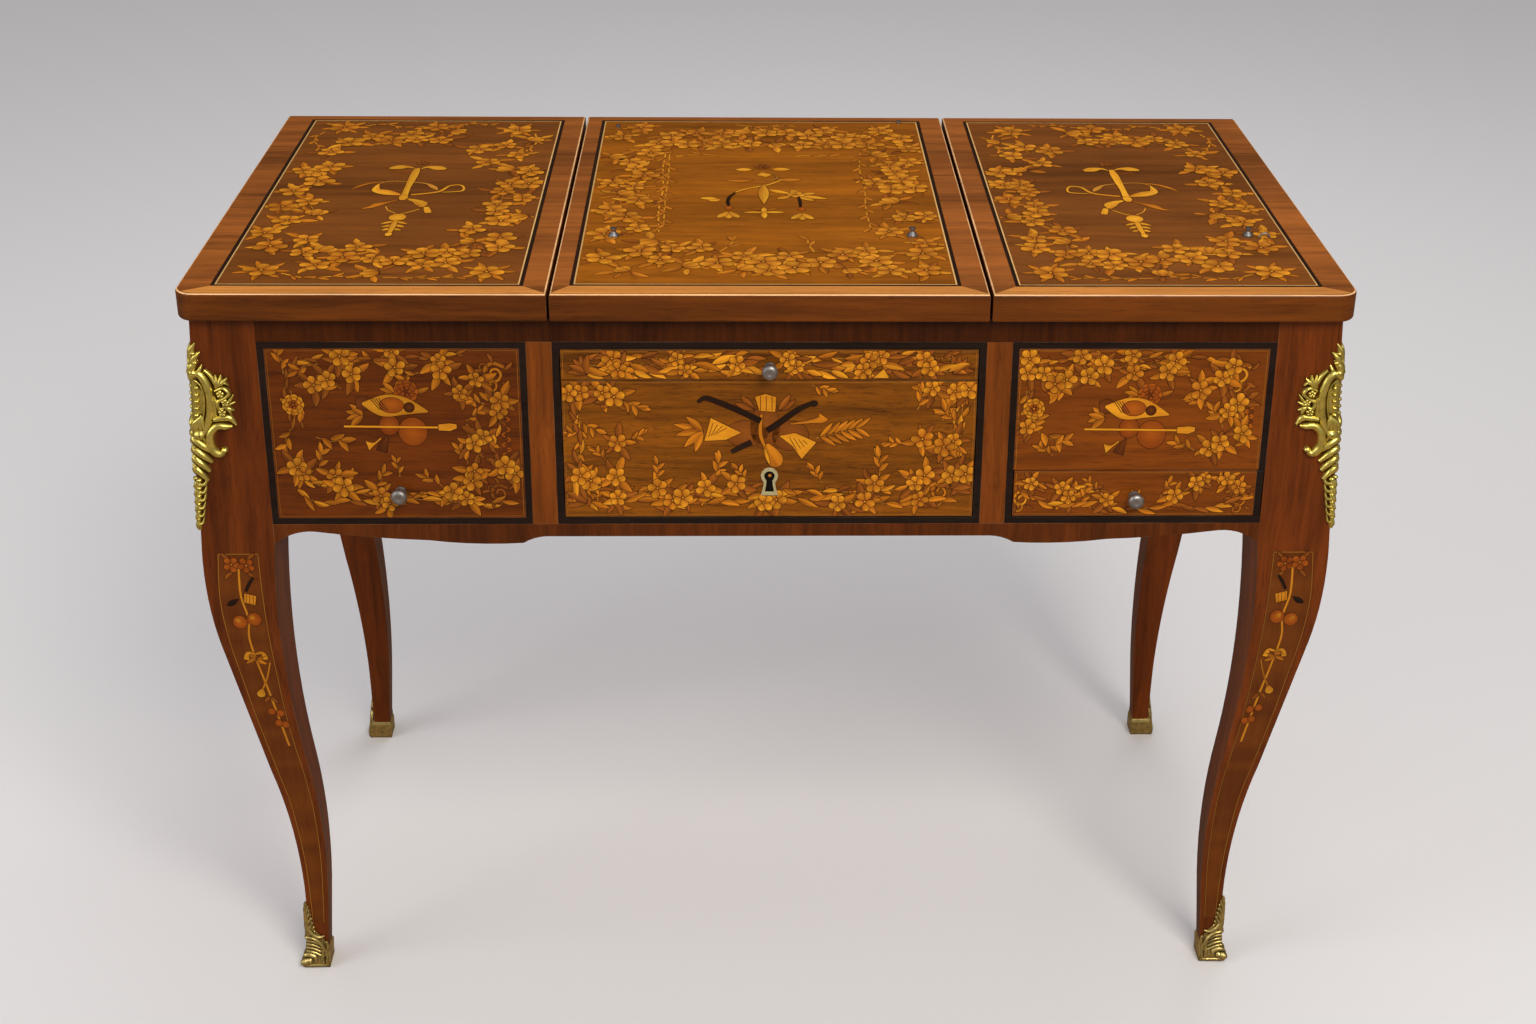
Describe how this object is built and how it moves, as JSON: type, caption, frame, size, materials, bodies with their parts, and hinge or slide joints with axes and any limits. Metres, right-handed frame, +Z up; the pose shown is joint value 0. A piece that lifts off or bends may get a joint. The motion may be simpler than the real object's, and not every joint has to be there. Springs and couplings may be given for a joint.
{
  "type": "poudreuse dressing table",
  "caption": "Free-standing dressing table on cabriole legs, with hinged lids over wells and a mirror, a writing slide, drawers and gilt mounts.",
  "frame": {"origin": "on the floor under the middle of the table's plan", "axes": "+X to the right seen from the front, -Y to the front, +Z up"},
  "size_m": [1.0066, 0.5447, 0.739],
  "materials": {
    "wood_case": "french-polished mahogany and kingwood veneer",
    "wood_veneer": "polished veneer with floral marquetry",
    "wood_interior": "plain waxed oak",
    "ebony": "ebonised, polished",
    "gilt_bronze": "gilt bronze, chased, worn",
    "brass_hinge": "aged brass",
    "steel": "dark polished steel",
    "mirror": "silvered glass",
    "leather": "dark brown, tooled border"
  },
  "bodies": {
    "case": {"leg_front_left": "wood_case", "leg_front_right": "wood_case", "leg_rear_left": "wood_case", "leg_rear_right": "wood_case", "sabot_front_left": "gilt_bronze", "sabot_front_right": "gilt_bronze", "sabot_rear_left": "gilt_bronze", "sabot_rear_right": "gilt_bronze", "chute_front_left": "gilt_bronze", "chute_front_right": "gilt_bronze", "front_top_rail": "wood_case", "front_bottom_rail": "wood_case", "left_stile": "wood_case", "right_stile": "wood_case", "left_band": "ebony", "centre_band": "ebony", "right_band": "ebony", "left_false_front": "wood_veneer", "right_false_front": "wood_veneer", "left_front_knob": "steel", "left_side_panel": "wood_case", "right_side_panel": "wood_case", "back_panel": "wood_case", "left_partition": "wood_interior", "right_partition": "wood_interior", "left_well_floor": "wood_interior", "right_well_floor": "wood_interior", "centre_tray_floor": "wood_interior", "centre_runners": "wood_interior", "right_drawer_runners": "wood_interior", "case_hinge_leaves": "brass_hinge", "hinge_pins": "brass_hinge"},
    "left_lid": {"left_lid": "wood_veneer", "left_lid_hinge_leaves": "brass_hinge"},
    "right_lid": {"right_lid": "wood_veneer", "right_lid_hinge_leaves": "brass_hinge", "right_lid_stud": "steel", "right_lid_hook": "steel"},
    "centre_lid": {"centre_lid": "wood_veneer", "centre_lid_hinge_leaves": "brass_hinge", "centre_lid_studs": "steel", "mirror_frame": "wood_interior", "mirror_glass": "mirror"},
    "slide": {"slide_front": "wood_veneer", "slide_board": "wood_interior", "slide_leather": "leather", "slide_knob": "steel"},
    "centre_drawer": {"centre_drawer_front": "wood_veneer", "centre_drawer_sides": "wood_interior", "centre_drawer_back": "wood_interior", "centre_drawer_bottom": "wood_interior", "escutcheon": "gilt_bronze", "lock_case": "steel"},
    "lock_bolt": {"lock_bolt": "steel"},
    "right_drawer": {"right_drawer_front": "wood_veneer", "right_drawer_end_band": "ebony", "right_drawer_sides": "wood_interior", "right_drawer_back": "wood_interior", "right_drawer_bottom": "wood_interior", "right_drawer_knob": "steel"}
  },
  "joints": [
    {"name": "left_lid_hinge", "type": "hinge", "parent": "case", "child": "left_lid", "pos_m": [-0.498, 0, 0.70485], "axis": [0, -1, 0], "range_deg": [0, 180]},
    {"name": "right_lid_hinge", "type": "hinge", "parent": "case", "child": "right_lid", "pos_m": [0.498, 0, 0.70485], "axis": [0, 1, 0], "range_deg": [0, 180]},
    {"name": "centre_lid_hinge", "type": "hinge", "parent": "case", "child": "centre_lid", "pos_m": [0, 0.263, 0.70485], "axis": [-1, 0, 0], "range_deg": [0, 105]},
    {"name": "slide_pull", "type": "slide", "parent": "case", "child": "slide", "axis": [0, -1, 0], "range_m": [0, 0.28]},
    {"name": "centre_drawer_pull", "type": "slide", "parent": "case", "child": "centre_drawer", "axis": [0, -1, 0], "range_m": [0, 0.33]},
    {"name": "lock_bolt_throw", "type": "slide", "parent": "centre_drawer", "child": "lock_bolt", "axis": [0, 0, -1], "range_m": [0, 0.006]},
    {"name": "right_drawer_pull", "type": "slide", "parent": "case", "child": "right_drawer", "axis": [0, -1, 0], "range_m": [0, 0.3]}
  ]
}
